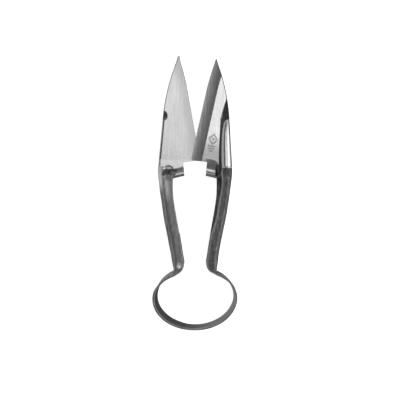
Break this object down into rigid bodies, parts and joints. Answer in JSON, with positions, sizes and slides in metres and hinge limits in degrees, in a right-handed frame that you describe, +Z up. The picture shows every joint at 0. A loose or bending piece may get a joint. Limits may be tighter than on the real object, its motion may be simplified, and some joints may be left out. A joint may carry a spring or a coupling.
{
  "type": "thread snips",
  "caption": "Spring-bow thread snips: two crossing triangular blades with ribs and stop lugs on channel grips, joined by an open elliptical strip spring.",
  "frame": {"origin": "under the middle of the overall box, on the plane that the snips lie on", "axes": "+Y along the snips from the spring bow to the blade tips, +Z up out of the plane they lie on, +X to the right half, whose blade lies on top"},
  "size_m": [0.0386, 0.127, 0.009],
  "materials": {
    "spring_steel": "dark satin, tempered",
    "forged_grip": "dark forged scale with a worn sheen",
    "weld_steel": "mottled weld scale",
    "blade_steel": "ground and polished, hollow-ground bevel"
  },
  "bodies": {
    "bow": {"bow_spring": "spring_steel"},
    "left_arm": {"left_grip": "forged_grip", "left_weld": "weld_steel", "left_blade": "blade_steel"},
    "right_arm": {"right_grip": "forged_grip", "right_weld": "weld_steel", "right_blade": "blade_steel"}
  },
  "joints": [
    {"name": "left_flex", "type": "hinge", "parent": "bow", "child": "left_arm", "pos_m": [-0.0124, -0.0548, 0.0045], "axis": [0, 0, -1], "range_deg": [0, 4.3], "stiffness_Nm_per_rad": 3.9, "deforming": ["bow_spring"]},
    {"name": "right_flex", "type": "hinge", "parent": "bow", "child": "right_arm", "pos_m": [0.0124, -0.0548, 0.0045], "axis": [0, 0, 1], "range_deg": [0, 4.3], "stiffness_Nm_per_rad": 3.9, "deforming": ["bow_spring"]}
  ],
  "couplings": [
    {"joint": "right_flex", "follows": "left_flex", "ratio": 1}
  ]
}
